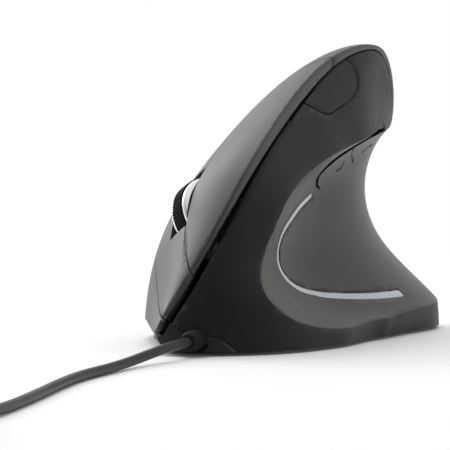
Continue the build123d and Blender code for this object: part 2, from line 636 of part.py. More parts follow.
proud_scoop = scoop(-side_button_proud)
button_wall = ((housing() & behind_seam) - proud_scoop) - thumb_cavity
dpi_button = largest(seam_wall & dpi_zone(0.0))
split_shift = half_gap * 1.2
rear_end_y = side_button_rear_y
both_buttons = button_wall & side_button_zone(0, 0, 0, 10, rear_end_y)
forward_button = largest(both_buttons & before_split(split_shift))
back_button = largest(both_buttons - before_split(-split_shift))
side_opening = side_button_zone(side_button_rear_gap, side_button_front_gap, side_button_foot_gap, 10,
                                rear_end_y - small_button_gap)
thumb_shell = thumb_shell - dpi_zone(small_button_gap) - side_opening
dpi_button = dpi_button + (side_boss(dpi_at) & thumb_cavity)
forward_boss = side_boss(forward_at) & thumb_cavity
back_boss = side_boss(back_at) & thumb_cavity
forward_button = forward_button + (forward_boss & before_split(split_shift))
back_button = back_button + (back_boss - before_split(-split_shift))

# Accent strip let into the scoop
accent_outer = []
accent_inner = []
for i, point in enumerate(accent_line):
    share = i / (len(accent_line) - 1)
    width = accent_width_start + (accent_width_end - accent_width_start) * share
    before, after = accent_line[max(i - 1, 0)], accent_line[min(i + 1, len(accent_line) - 1)]
    size = hypot(after[0] - before[0], after[1] - before[1])
    out_y = -(after[1] - before[1]) / size * width / 2
    out_z = (after[0] - before[0]) / size * width / 2
    accent_outer.append((point[0] + out_y, point[1] + out_z))
    accent_inner.append((point[0] - out_y, point[1] - out_z))
accent_edges = [smooth(accent_outer), Edge.make_line(side_point(*accent_outer[-1]), side_point(*accent_inner[-1])),
                smooth(accent_inner[::-1]), Edge.make_line(side_point(*accent_inner[0]), side_point(*accent_outer[0]))]
accent_ribbon = side_prism(accent_edges, -45, -4)
accent_bed = body & accent_ribbon & scoop(accent_depth)
accent_strip = largest(accent_bed - scoop(accent_recess))
thumb_shell = thumb_shell - accent_bed

# Nose block: a small piece of its own at the front foot of the finger side
nose_edges = chain([side_point(*point) for point in nose_outline + nose_outline[:1]])
nose_zone = side_prism(nose_edges, 3, 30)
nose_block = largest(palm_shell & nose_zone)
palm_shell = palm_shell - nose_zone



# Chin: the base's front edge, turned up under the nose; it closes the foot of the seam
def chin_zone(gap):
    seam = grown(chin_seam, gap)
    outline = [*seam, (seam[-1][0], -5.0), (seam[0][0] - gap, -5.0)]
    points = [Vector(x * wide, 0, z * tall) for x, z in outline]
    face = Face(Wire(chain([*points, points[0]])))
    rear = chin_rear_y * long - gap
    return Pos(0, rear, 0) * Solid.extrude(face, Vector(0, reach, 0))


chin_room = inside_fingers(chin_wall, 0.0) & inside_thumb(chin_wall)
base_plate = base_plate + ((body & chin_zone(0.0)) - chin_room)
thumb_shell = thumb_shell - chin_zone(piece_gap)
palm_shell = palm_shell - chin_zone(piece_gap)
nose_block = largest(nose_block - chin_zone(piece_gap))
left_button = largest(left_button - chin_zone(seam_gap))
right_button = largest(right_button - chin_zone(chin_press_gap))

# Strain relief, let into the front of the shells and the base
exit_x = -0.4 * wide
relief_rear = 50.0 * long
relief_face = 59.6 * long
relief_tip = relief_face + 2.4


def along_y(radius, y0, y1, x=exit_x, z=cord_height):
    return Pos(x, (y0 + y1) / 2, z) * Rot(90, 0, 0) * Cylinder(radius, y1 - y0)


relief_bush = along_y(relief_radius, relief_rear, relief_face)
relief_cone = Pos(exit_x, (relief_face + relief_tip) / 2, cord_height) * Rot(-90, 0, 0) * Cone(
    relief_radius, relief_tip_radius, relief_tip - relief_face)
strain_relief = relief_bush + relief_cone
thumb_shell = thumb_shell - relief_bush
palm_shell = palm_shell - relief_bush
base_plate = base_plate - relief_bush

thumb_shell = largest(thumb_shell)
palm_shell = largest(palm_shell)
base_plate = largest(base_plate)

# Inner lead from the relief to the connector, and the ribbon from the side board
lead_route = [(exit_x, relief_rear, cord_height), (exit_x, 46.0, cord_height), (-5.5, 36.0, 4.8), (-7.0, 22.0, 5.6),
              (-4.5, 13.0, 8.4), (-2.0, 8.4, 10.6), (-2.0, 4.4, 10.6)]
lead_path = FilletPolyline(*lead_route, radius=3.0)
lead_section = Plane(origin=lead_path @ 0, z_dir=lead_path % 0) * Circle(0.9)
cable_lead = sweep(lead_section, lead_path)
ribbon_x = side_board_x + 0.8
ribbon_y = -2.5
ribbon_edges = [Edge.make_bezier((ribbon_x, ribbon_y, 33), (ribbon_x + 5, ribbon_y, 26), (ribbon_x + 5, ribbon_y, 16),
                                 (ribbon_x, ribbon_y, board_top_z))]
ribbon_edges.append(Edge.make_line((ribbon_x, ribbon_y, board_top_z), (ribbon_x - 0.35, ribbon_y, board_top_z)))
ribbon_edges.append(Edge.make_bezier((ribbon_x - 0.35, ribbon_y, board_top_z), (ribbon_x + 4.65, ribbon_y, 16),
                                     (ribbon_x + 4.65, ribbon_y, 26), (ribbon_x - 0.35, ribbon_y, 33)))
ribbon_edges.append(Edge.make_line((ribbon_x - 0.35, ribbon_y, 33), (ribbon_x, ribbon_y, 33)))
board_ribbon = Solid.extrude(Face(Wire(ribbon_edges)), Vector(0, -8, 0))

# Cord: a free stretch on the desk, then the rest of its length in a coil, then a tail to the plug
floor_axis = cord_diameter / 2
coil_axis = floor_axis + coil_lift
cord_route = [(exit_x, relief_tip, cord_height), (exit_x, 67.5, cord_height), (1.5, 75.5, 3.1), (3.6, 87.0, 1.7),
              (3.4, 103.0, floor_axis), (3.5, 122.0, floor_axis), (0.6, 143.0, floor_axis), (-3.9, 168.0, floor_axis),
              (-7.4, 192.0, floor_axis), (-9.3, 212.0, coil_axis), (-9.3, 228.0, coil_axis)]


def cord_radii(route):
    """Bend radii: 0.45 of the shorter run beside each corner, over the tangent of half its turn."""
    radii = []
    for before, here, after in zip(route, route[1:], route[2:]):
        first = Vector(*here) - Vector(*before)
        second = Vector(*after) - Vector(*here)
        turn = radians(first.get_angle(second))
        radii.append(0.45 * min(first.length, second.length) / tan(turn / 2))
    return radii


def cord_tube(route, name):
    radii = cord_radii(route)
    print(name, "radii", [round(radius, 1) for radius in radii])
    path = FilletPolyline(*route, radius=radii)
    section = Plane(origin=path @ 0, z_dir=path % 0) * Circle(cord_diameter / 2)
    tube = sweep(section, path)
    ratio = tube.volume / (pi * cord_diameter**2 / 4 * path.length)
    print(name, "length", round(path.length, 1), "volume over section times length", round(ratio, 4))
    return tube


cord_free = cord_tube(cord_route, "free stretch")

coil_pitch = cord_diameter + coil_gap
coil_start = Vector(*cord_route[-1])
coil_edges = [Edge.make_line(coil_start, coil_start + Vector(0, cord_diameter, 0))]
at = coil_start + Vector(0, cord_diameter, 0)
side = 1
radius = coil_inner_radius + (coil_half_turns - 1) * coil_pitch / 2
way = -1
for layer in range(coil_layers):
    for turn in range(coil_half_turns):
        end = at + Vector(2 * radius * side, 0, 0)
        middle = at + Vector(radius * side, radius * side, 0)
        coil_edges.append(Edge.make_three_point_arc(at, middle, end))
        at = end
        side = -side
        radius += way * coil_pitch / 2
    if layer < coil_layers - 1:
        quarter = sqrt(radius**2 + (coil_pitch / 2)**2)
        middle = at + Vector(radius * side, quarter * side, coil_pitch / 2)
        end = at + Vector(2 * radius * side, 0, coil_pitch)
        rise = Edge.make_tangent_arc(at, Vector(0, side, 0), middle)
        coil_edges.append(rise)
        coil_edges.append(Edge.make_tangent_arc(middle, rise % 1, end))
        at = end
        side = -side
        way = -way
        radius += way * coil_pitch / 2
coil_end = at + Vector(0, side * cord_diameter, 0)
coil_edges.append(Edge.make_line(at, coil_end))
coil_path = Wire(coil_edges)
coil_section = Plane(origin=coil_start, z_dir=(0, 1, 0)) * Circle(cord_diameter / 2)
cord_coil = sweep(coil_section, coil_path)
ratio = cord_coil.volume / (pi * cord_diameter**2 / 4 * coil_path.length)
print("coil length", round(coil_path.length, 1), "volume over section times length", round(ratio, 4))

points = []
for edge in coil_edges:
    steps = max(2, round(edge.length / 1.5))
    points += [tuple(edge @ (i / steps)) for i in range(steps)]
least = 99.0
for i, (ax, ay, az) in enumerate(points):
    for bx, by, bz in points[i + 10:]:
        least = min(least, (ax - bx)**2 + (ay - by)**2 + (az - bz)**2)
print("coil's least gap to itself", round(sqrt(least) - cord_diameter, 2))

# Tie round the coil, on the desk
tie_y = [point[1] for point in points if abs(point[0] - (coil_start.X + coil_end.X) / 2) < tie_width / 2 + 1
         and point[1] > coil_start.Y + 1]
tie_z = coil_axis + (coil_layers - 1) * coil_pitch + cord_diameter / 2
tie_x = (coil_start.X + coil_end.X) / 2
tie_fit = 0.3
tie_in = (min(tie_y) - cord_diameter / 2 - tie_fit, max(tie_y) + cord_diameter / 2 + tie_fit)
tie_top = tie_z + tie_fit
coil_tie = span(tie_x - tie_width / 2, tie_x + tie_width / 2, tie_in[0] - tie_thickness, tie_in[1] + tie_thickness,
                0, tie_top + tie_thickness)
coil_tie = coil_tie - span(tie_x - tie_width, tie_x + tie_width, *tie_in, tie_thickness, tie_top)

# Tail and plug
plug_size = (16.0, 27.0, 8.0)
plug_shell_size = (12.0, 18.8, 4.5)
plug_z = plug_size[2] / 2
tail_route = [tuple(coil_end), (coil_end.X, coil_end.Y - 8.0, coil_end.Z),
              (coil_end.X + 1.8, coil_end.Y - 19.0, coil_end.Z - 2.8),
              (coil_end.X + 4.0, coil_end.Y - 30.0, plug_z), (coil_end.X + 4.0, coil_end.Y - 38.0, plug_z)]
cord_tail = cord_tube(tail_route, "tail")
tail_end = Vector(*tail_route[-1])
tail_way = (tail_end - Vector(*tail_route[-2])).normalized()
plug_plane = Plane(origin=(tail_end.X, tail_end.Y, plug_z), x_dir=(1, 0, 0), z_dir=(0, 0, 1))
plug_grip = span(-plug_size[0] / 2, plug_size[0] / 2, -plug_size[1], 0, -plug_size[2] / 2, plug_size[2] / 2)
plug_grip = fillet(plug_grip.edges().filter_by(Axis.Y), 1.6)
width, length, height = plug_shell_size
sheet = 0.35
plug_shell = span(-width / 2, width / 2, -length, 0, -height / 2, height / 2)
plug_shell = plug_shell - span(-width / 2 + sheet, width / 2 - sheet, -length - 1, -1, -height / 2 + sheet, height / 2 - sheet)
plug_tongue = span(-width / 2 + 1.2, width / 2 - 1.2, -length + 0.8, -1, height / 2 - sheet - 1.9, height / 2 - sheet)
back = Pos(0, -plug_size[1], 0)
plug_grip = plug_plane.location * plug_grip
plug_shell = plug_plane.location * back * plug_shell
plug_tongue = plug_plane.location * back * plug_tongue

nodes = {
    "thumb_shell": thumb_shell,
    "palm_shell": palm_shell,
    "left_button": left_button,
    "right_button": right_button,
    "dpi_button": dpi_button,
    "forward_button": forward_button,
    "back_button": back_button,
    "accent_strip": accent_strip,
    "nose_block": nose_block,
    "strain_relief": strain_relief,
    "base_plate": base_plate,
    "front_skate": front_skate,
    "rear_skate": rear_skate,
    "base_screws": Compound(base_screws),
    "board_screws": Compound(board_screws),
    "main_board": main_board,
    "sensor_lens": sensor_lens,
    "sensor_chip": sensor_chip,
    "sensor_led": sensor_led,
    "cable_connector": cable_connector,
    "cable_lead": cable_lead,
    "button_bracket": button_bracket,
    "button_board": button_board + lugs,
    "left_switch": left_switch,
    "right_switch": right_switch,
    "middle_switch": middle_switch,
    "left_plunger": left_plunger,
    "right_plunger": right_plunger,
    "middle_plunger": middle_plunger,
    "wheel_tyre": wheel_tyre,
    "wheel_hub": wheel_hub,
    "wheel_axle": wheel_axle,
    "wheel_carrier": wheel_carrier,
    "wheel_encoder": encoder,
    "side_board": side_board,
    "board_ribbon": board_ribbon,
    "forward_switch": forward_switch,
    "back_switch": back_switch,
    "dpi_switch": dpi_switch,
    "forward_plunger": forward_plunger,
    "back_plunger": back_plunger,
    "dpi_plunger": dpi_plunger,
    "cord_free": cord_free,
    "cord_coil": cord_coil,
    "coil_tie": coil_tie,
    "cord_tail": cord_tail,
    "plug_grip": plug_grip,
    "plug_shell": plug_shell,
    "plug_tongue": plug_tongue,
}

# Everything moves so that the origin is under the middle of the housing
to_origin = Vector(-drawn_centre_x * wide, -drawn_centre_y * long, 0)
os.makedirs("parts", exist_ok=True)
for name, shape in nodes.items():
    solids = (Pos(to_origin) * shape).solids()
    shape = solids[0] if len(solids) == 1 else Compound(solids)
    shape.label = name
    export_step(shape, f"parts/{name}.step")
    print(name, len(solids), shape.is_valid, round(shape.volume, 1))

hinge_rows = {
    "finger plane": (slot_middle, roll_direction, slot_outward),
    "wheel centre": (finger_plane.from_local_coords(Vector(0, 0, wheel_z)),),
    "carrier pivot": (finger_plane.from_local_coords(Vector(pivot_x, 0, wheel_z)),),
    "axle way": (finger_plane.y_dir,),
    "left plunger": (finger_plane.from_local_coords(Vector(*left_switch_at, contact)),),
    "right plunger": (finger_plane.from_local_coords(Vector(*right_switch_at, contact)),),
    "middle plunger": (finger_plane.from_local_coords(Vector(*middle_switch_at, middle_contact)),),
}
for name, vectors in hinge_rows.items():
    print(name, [[round(value, 4) for value in vector] for vector in vectors])
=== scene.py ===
import json
import math
import bmesh
import bpy
from mathutils import Matrix, Vector


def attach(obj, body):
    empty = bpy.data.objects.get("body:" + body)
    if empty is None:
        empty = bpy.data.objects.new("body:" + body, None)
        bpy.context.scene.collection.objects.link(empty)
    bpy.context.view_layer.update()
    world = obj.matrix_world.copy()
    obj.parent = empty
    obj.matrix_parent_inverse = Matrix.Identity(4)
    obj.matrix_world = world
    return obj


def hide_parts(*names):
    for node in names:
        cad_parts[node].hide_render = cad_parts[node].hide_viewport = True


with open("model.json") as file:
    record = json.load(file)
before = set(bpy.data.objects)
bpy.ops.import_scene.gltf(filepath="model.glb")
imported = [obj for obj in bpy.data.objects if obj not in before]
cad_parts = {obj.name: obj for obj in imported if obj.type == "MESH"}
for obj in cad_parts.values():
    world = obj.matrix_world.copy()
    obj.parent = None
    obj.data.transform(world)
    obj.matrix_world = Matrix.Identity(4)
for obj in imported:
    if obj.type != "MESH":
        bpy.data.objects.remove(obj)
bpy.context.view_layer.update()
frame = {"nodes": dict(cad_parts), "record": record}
mm = 0.001
print("frame loaded:", len(frame["nodes"]), "nodes")

# Camera, where the photo was taken from
cameraSettings = {
    "place": (-0.27924, 0.85094, 0.0759),
    "turn": 19.0,          # degrees round from straight ahead
    "dip": 3.015,          # degrees down
    "lens": 280.96,
    "sensor": 36,
    "clip": (0.05, 10),
}


def addCamera(settings):
    turn = math.radians(settings["turn"])
    dip = math.radians(settings["dip"])
    right = Vector((-math.cos(turn), -math.sin(turn), 0))
    back = Vector((-math.sin(turn), math.cos(turn), 0)) * math.cos(dip) + Vector((0, 0, math.sin(dip)))
    up = back.cross(right)
    data = bpy.data.cameras.new("camera")
    data.sensor_width = settings["sensor"]
    data.lens = settings["lens"]
    data.clip_start, data.clip_end = settings["clip"]
    camera = bpy.data.objects.new("camera", data)
    facing = Matrix((right, up, back)).transposed().to_4x4()
    camera.matrix_world = Matrix.Translation(settings["place"]) @ facing
    bpy.context.scene.collection.objects.link(camera)
    bpy.context.scene.camera = camera


addCamera(cameraSettings)

# The cord: free stretch, coil and tail, in millimetres from the same origin as the solids
cord = {
    "diameter": 2.4 * mm,
    "exit": (1.16, 64.24, 3.9),
    "free": [(1.16, 64.24, 3.9), (1.16, 69.74, 3.9), (3.06, 77.74, 3.1), (5.16, 89.24, 1.7),
             (4.96, 105.24, 1.25), (5.06, 124.24, 1.25), (2.16, 145.24, 1.25),
             (-2.34, 170.24, 1.25), (-5.84, 194.24, 1.25), (-7.74, 214.24, 1.8), (-7.74, 230.24, 1.8)],
    "lead": 2.4,               # straight piece before and after the coil
    "pitch": 2.9,
    "halfTurns": 7,
    "layers": 4,
    "innerRadius": 8.8,
    "tail": [(0, -8, 0), (1.8, -19, -2.8), (4, -30, -6.5), (4, -38, -6.5)],
}


def coilPoints(start, settings):
    pitch = settings["pitch"]
    radius = settings["innerRadius"] + (settings["halfTurns"] - 1) * pitch / 2
    steps = 8
    swell = 1 / math.cos(math.pi / steps / 2)      # the curve runs inside its control points
    x, y, z = start
    side, way = 1, -1
    points = []
    for layer in range(settings["layers"]):
        turns = settings["halfTurns"] + (1 if layer < settings["layers"] - 1 else 0)
        for turn in range(turns):
            climbs = turn == settings["halfTurns"]
            for step in range(steps):
                share = (step + 0.5) / steps
                angle = math.pi * share
                height = z + (pitch * share * share * (3 - 2 * share) if climbs else 0)
                points.append((x + side * radius * (1 - swell * math.cos(angle)),
                               y + side * radius * swell * math.sin(angle), height))
            x += 2 * radius * side
            side = -side
            if climbs:
                z += pitch
                way = -way
            radius += way * pitch / 2
    return points, (x, y, z)


def addCord(settings):
    route = list(settings["free"])
    start = (route[-1][0], route[-1][1] + settings["lead"], route[-1][2])
    turns, last = coilPoints(start, settings)
    route += turns
    end = (last[0], last[1] - settings["lead"], last[2])
    route.append(end)
    route += [(end[0] + x, end[1] + y, end[2] + z) for x, y, z in settings["tail"]]
    curve = bpy.data.curves.new("cordCurve", "CURVE")
    curve.dimensions = "3D"
    curve.bevel_depth = 1.0        # metres; each point's own radius makes it the cord's
    curve.bevel_resolution = 3
    curve.resolution_u = 6
    curve.use_fill_caps = True
    spline = curve.splines.new("NURBS")
    spline.points.add(len(route) - 1)
    for point, place in zip(spline.points, route):
        point.co = (place[0] * mm, place[1] * mm, place[2] * mm, 1)
        point.radius = settings["diameter"] / 2
    spline.order_u = 3
    spline.use_endpoint_u = True
    piece = bpy.data.objects.new("cord", curve)
    bpy.context.scene.collection.objects.link(piece)
    return piece


cordPiece = addCord(cord)
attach(cordPiece, "housing")
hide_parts("cord_free", "cord_coil", "cord_tail")
print("cord laid out")


# Finishes
def finishNodes(name):
    material = bpy.data.materials.new(name)
    material.use_nodes = True
    tree = material.node_tree
    return material, tree.nodes, tree.links, tree.nodes["Principled BSDF"]


# Shared by all finishes: scale of each pattern, per metre, its detail, and the refractive index of plastic
pattern = {
    "drift": 45, "driftDetail": 4, "driftFrom": 0.3, "driftTo": 0.7,
    "wear": 160, "wearDetail": 6,
    "grain": 3200, "grainDetail": 2, "grainDepth": 0.0001,
    "index": 1.48,
}


# Moulded or coated plastic: slow colour drift, uneven gloss and a fine spark-eroded grain
def mouldedFinish(name, settings):
    material, nodes, links, shader = finishNodes(name)
    place = nodes.new("ShaderNodeTexCoord")
    drift = nodes.new("ShaderNodeTexNoise")
    drift.inputs["Scale"].default_value = pattern["drift"]
    drift.inputs["Detail"].default_value = pattern["driftDetail"]
    links.new(place.outputs["Object"], drift.inputs["Vector"])
    ramp = nodes.new("ShaderNodeValToRGB")
    ramp.color_ramp.elements[0].position = pattern["driftFrom"]
    ramp.color_ramp.elements[0].color = (*settings["dark"], 1)
    ramp.color_ramp.elements[1].position = pattern["driftTo"]
    ramp.color_ramp.elements[1].color = (*settings["light"], 1)
    links.new(drift.outputs["Fac"], ramp.inputs["Fac"])
    links.new(ramp.outputs["Color"], shader.inputs["Base Color"])
    wear = nodes.new("ShaderNodeTexNoise")
    wear.inputs["Scale"].default_value = settings.get("wearScale", pattern["wear"])
    wear.inputs["Detail"].default_value = pattern["wearDetail"]
    links.new(place.outputs["Object"], wear.inputs["Vector"])
    gloss = nodes.new("ShaderNodeMapRange")
    gloss.inputs["To Min"].default_value = settings["rough"][0]
    gloss.inputs["To Max"].default_value = settings["rough"][1]
    links.new(wear.outputs["Fac"], gloss.inputs["Value"])
    links.new(gloss.outputs["Result"], shader.inputs["Roughness"])
    grain = nodes.new("ShaderNodeTexNoise")
    grain.inputs["Scale"].default_value = pattern["grain"]
    grain.inputs["Detail"].default_value = pattern["grainDetail"]
    links.new(place.outputs["Object"], grain.inputs["Vector"])
    bump = nodes.new("ShaderNodeBump")
    bump.inputs["Strength"].default_value = settings.get("grain", 0.12)
    bump.inputs["Distance"].default_value = pattern["grainDepth"]
    links.new(grain.outputs["Fac"], bump.inputs["Height"])
    links.new(bump.outputs["Normal"], shader.inputs["Normal"])
    shader.inputs["Metallic"].default_value = settings.get("metal", 0)
    shader.inputs["IOR"].default_value = pattern["index"]
    shader.inputs["Specular IOR Level"].default_value = settings.get("shine", 0.5)
    shader.inputs["Transmission Weight"].default_value = settings.get("clear", 0)
    return material


finishes = {
    "soft_black": {"dark": (0.0125, 0.0130, 0.0155), "light": (0.0160, 0.0165, 0.0190), "rough": (0.42, 0.50),
                   "grain": 0.10, "shine": 0.2},
    "graphite": {"dark": (0.030, 0.031, 0.034), "light": (0.035, 0.036, 0.039),
                 "rough": (0.44, 0.50), "grain": 0.05, "shine": 0.7},
    "satin_black": {"dark": (0.0200, 0.0196, 0.0186), "light": (0.0240, 0.0235, 0.0220),
                    "rough": (0.36, 0.42), "grain": 0.06, "shine": 0.26},
    "accent": {"dark": (0.52, 0.55, 0.60), "light": (0.60, 0.63, 0.68), "rough": (0.30, 0.38), "grain": 0.03},
    "rubber": {"dark": (0.009, 0.009, 0.010), "light": (0.013, 0.013, 0.014),
               "rough": (0.55, 0.68), "grain": 0.2, "shine": 0.12},
    "wheel_rim": {"dark": (0.74, 0.74, 0.76), "light": (0.82, 0.82, 0.84), "rough": (0.10, 0.16), "metal": 1,
                  "grain": 0.02},
    "steel": {"dark": (0.52, 0.52, 0.54), "light": (0.64, 0.64, 0.65),
              "rough": (0.28, 0.42), "metal": 1, "grain": 0.1},
    "screw_steel": {"dark": (0.10, 0.10, 0.105), "light": (0.16, 0.16, 0.165),
                    "rough": (0.3, 0.45), "metal": 1},
    "pcb": {"dark": (0.012, 0.075, 0.030), "light": (0.020, 0.105, 0.042),
            "rough": (0.28, 0.42), "grain": 0.06, "wearScale": 900},
    "skate": {"dark": (0.42, 0.42, 0.41), "light": (0.52, 0.52, 0.51), "rough": (0.42, 0.55), "grain": 0.08},
    "lens": {"dark": (0.90, 0.93, 0.95), "light": (0.96, 0.97, 0.98),
             "rough": (0.02, 0.08), "clear": 0.9, "grain": 0.01},
    "chip": {"dark": (0.010, 0.010, 0.011), "light": (0.018, 0.018, 0.019),
             "rough": (0.55, 0.7), "grain": 0.2},
    "led": {"dark": (0.45, 0.02, 0.015), "light": (0.6, 0.035, 0.025), "rough": (0.06, 0.14), "clear": 0.4},
    "connector": {"dark": (0.62, 0.59, 0.50), "light": (0.70, 0.67, 0.57), "rough": (0.42, 0.5)},
    "switch_case": {"dark": (0.014, 0.014, 0.015), "light": (0.022, 0.022, 0.023),
                    "rough": (0.4, 0.52), "grain": 0.1},
    "plunger": {"dark": (0.58, 0.58, 0.56), "light": (0.68, 0.68, 0.66), "rough": (0.35, 0.45)},
    "inner_white": {"dark": (0.26, 0.26, 0.27), "light": (0.32, 0.32, 0.33), "rough": (0.45, 0.55)},
    "ribbon": {"dark": (0.55, 0.55, 0.53), "light": (0.66, 0.66, 0.64), "rough": (0.35, 0.5)},
    "cord": {"dark": (0.013, 0.013, 0.015), "light": (0.019, 0.019, 0.021),
             "rough": (0.40, 0.50), "grain": 0.1, "shine": 0.35},
    "mark": {"dark": (0.010, 0.010, 0.010), "light": (0.014, 0.014, 0.014),
             "rough": (0.55, 0.65), "grain": 0.05, "shine": 0.2},
    "usb_metal": {"dark": (0.60, 0.60, 0.61), "light": (0.70, 0.70, 0.71), "rough": (0.16, 0.28), "metal": 1,
                  "grain": 0.03},
}
material = {name: mouldedFinish(name, settings) for name, settings in finishes.items()}
slotOf = {entry["node"]: entry["material_slot"] for entry in frame["record"]["subparts"]}
bodyOf = {node: body for body, nodes in frame["record"]["behaviour"]["bodies"].items() for node in nodes}
for node, piece in frame["nodes"].items():
    piece.data.materials.clear()
    piece.data.materials.append(material[slotOf[node]])
cordPiece.data.materials.append(material["cord"])
print("finishes made:", len(material))


# Skins: merged copies of the moulded solids, shaded smooth up to their own edges
skinMaking = {"weld": 2e-6, "weight": 80}


# The faces reached from the one nearest to a place without crossing a crease
def spreadFrom(work, place, crease):
    work.faces.ensure_lookup_table()
    first = min(work.faces, key=lambda face: (face.calc_center_median() - Vector(place)).length)
    reached, queue = {first}, [first]
    while queue:
        face = queue.pop()
        for edge in face.edges:
            if len(edge.link_faces) != 2 or edge.calc_face_angle(0) > crease:
                continue
            for other in edge.link_faces:
                if other not in reached:
                    reached.add(other)
                    queue.append(other)
    return reached


# Large faces lead the shading of a corner that they share with slivers
def evenShading(mesh):
    holder = bpy.data.objects.new("shadingHolder", mesh)
    bpy.context.scene.collection.objects.link(holder)
    weighing = holder.modifiers.new("weighing", "WEIGHTED_NORMAL")
    weighing.keep_sharp = True
    weighing.weight = skinMaking["weight"]
    bpy.context.view_layer.update()
    shaded = bpy.data.meshes.new_from_object(holder.evaluated_get(bpy.context.evaluated_depsgraph_get()))
    holder.modifiers.remove(weighing)
    bpy.data.objects.remove(holder)
    shaded.name = mesh.name
    return shaded


def dressNode(node, settings):
    source = frame["nodes"][node]
    work = bmesh.new()
    work.from_mesh(source.data)
    bmesh.ops.remove_doubles(work, verts=work.verts, dist=skinMaking["weld"])
    if "rest" in settings:
        for face in spreadFrom(work, settings["rest"]["place"], math.radians(settings["rest"]["crease"])):
            face.material_index = 1
    mesh = bpy.data.meshes.new(node + "Skin")
    work.to_mesh(mesh)
    work.free()
    mesh.shade_smooth()
    mesh.set_sharp_from_angle(angle=math.radians(settings["crease"]))
    slot = settings.get("finish", slotOf[node])
    mesh.materials.append(material[slot])
    if "rest" in settings:
        mesh.materials.append(material[settings["rest"]["finish"]])
        restFaces = sum(face.material_index for face in mesh.polygons)
        print("thumb rest faces:", restFaces, "of", len(mesh.polygons))
    mesh = evenShading(mesh)
    piece = bpy.data.objects.new(node + "Skin", mesh)
    bpy.context.scene.collection.objects.link(piece)
    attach(piece, bodyOf[node])
    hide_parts(node)
    return piece


skins = {
    "thumb_shell": {"crease": 32,
                    "rest": {"place": (-0.0120, -0.0078, 0.030), "crease": 12, "finish": "satin_black"}},
    "palm_shell": {"crease": 32}, "left_button": {"crease": 32},
    "right_button": {"crease": 32}, "dpi_button": {"crease": 32}, "forward_button": {"crease": 35},
    "back_button": {"crease": 35}, "accent_strip": {"crease": 40},
    "nose_block": {"crease": 35, "finish": "graphite"},
    "base_plate": {"crease": 35, "finish": "satin_black"}, "strain_relief": {"crease": 35},
}
skinPieces = {node: dressNode(node, settings) for node, settings in skins.items()}
print("skins made:", len(skinPieces))


# Marks on the side buttons: thin printed lines that lie on the skin
sideMarks = {
    "forward_button": [(-13.34, -8.66, 42.3), (-13.94, -11.56, 43.1), (-14.94, -10.96, 44.9)],
    "back_button": [(-16.24, -21.96, 46.6), (-17.34, -25.06, 48.5), (-17.14, -28.16, 48.4)],
}
markSize = {"width": 0.85 * mm, "proud": 0.03 * mm, "sunk": 0.06 * mm, "steps": 8}


def addMark(node, points, settings):
    skin = skinPieces[node]
    places = []
    for start, end in zip(points, points[1:]):
        for step in range(settings["steps"]):
            places.append(Vector(start).lerp(Vector(end), step / settings["steps"]) * mm)
    places.append(Vector(points[-1]) * mm)
    onSkin = [skin.closest_point_on_mesh(place)[1:3] for place in places]
    work = bmesh.new()
    rings = []
    for index, (place, normal) in enumerate(onSkin):
        before, after = onSkin[max(index - 1, 0)][0], onSkin[min(index + 1, len(onSkin) - 1)][0]
        across = (after - before).cross(normal).normalized() * settings["width"] / 2
        top, low = place + normal * settings["proud"], place - normal * settings["sunk"]
        corners = (top - across, top + across, low + across, low - across)
        rings.append([work.verts.new(corner) for corner in corners])
    for ring, following in zip(rings, rings[1:]):
        for side in range(4):
            work.faces.new((ring[side], ring[(side + 1) % 4], following[(side + 1) % 4], following[side]))
    work.faces.new(rings[0])
    work.faces.new(rings[-1][::-1])
    bmesh.ops.recalc_face_normals(work, faces=work.faces)
    mesh = bpy.data.meshes.new(node + "Mark")
    work.to_mesh(mesh)
    work.free()
    mesh.materials.append(material["mark"])
    piece = bpy.data.objects.new(node + "Mark", mesh)
    bpy.context.scene.collection.objects.link(piece)
    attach(piece, bodyOf[node])


for node, points in sideMarks.items():
    addMark(node, points, markSize)
print("marks laid on the side buttons")

# Scroll wheel, in millimetres about its axle: radius, then place across the wheel
wheel = {
    "centre": (7.03, 29.981, 31.666),
    "along": (0, 0.7121, -0.7021), "axle": (-0.7536, 0.4615, 0.4681), "out": (0.6573, 0.5279, 0.5378),
    "hub": [(1.3, -2.5), (6.9, -2.5), (7.5, -3.15), (8.2, -3.2), (9.5, -3.0), (10.0, -2.75), (10.1, -2.5),
            (10.1, -2.12), (8.1, -2.05), (8.1, 2.05), (10.1, 2.12), (10.1, 2.5), (10.0, 2.75),
            (9.5, 3.0), (8.2, 3.2), (7.5, 3.15), (6.9, 2.5), (1.3, 2.5)],
    "tyre": [(8.12, -2.08), (9.8, -2.08), (10.02, -1.95), (10.12, -1.5), (10.16, 0), (10.12, 1.5),
             (10.02, 1.95), (9.8, 2.08), (8.12, 2.08)],
    "segments": 120,
}
ribs = {"Count": 84, "Radius": 10.16 * mm, "Thickness": 0.44 * mm, "Width": 3.9 * mm, "Depth": 0.66 * mm}
ribCuts = (3, 9, 3)


def lathed(name, profile, segments):
    work = bmesh.new()
    rings = []
    for index in range(segments):
        angle = 2 * math.pi * index / segments
        sine, cosine = math.sin(angle), math.cos(angle)
        rings.append([work.verts.new((radius * mm * sine, across * mm, radius * mm * cosine))
                      for radius, across in profile])
    for ring, following in zip(rings, rings[1:] + rings[:1]):
        for index in range(len(profile)):
            after = (index + 1) % len(profile)
            work.faces.new((ring[index], ring[after], following[after], following[index]))
    bmesh.ops.recalc_face_normals(work, faces=work.faces)
    mesh = bpy.data.meshes.new(name)
    work.to_mesh(mesh)
    work.free()
    return mesh


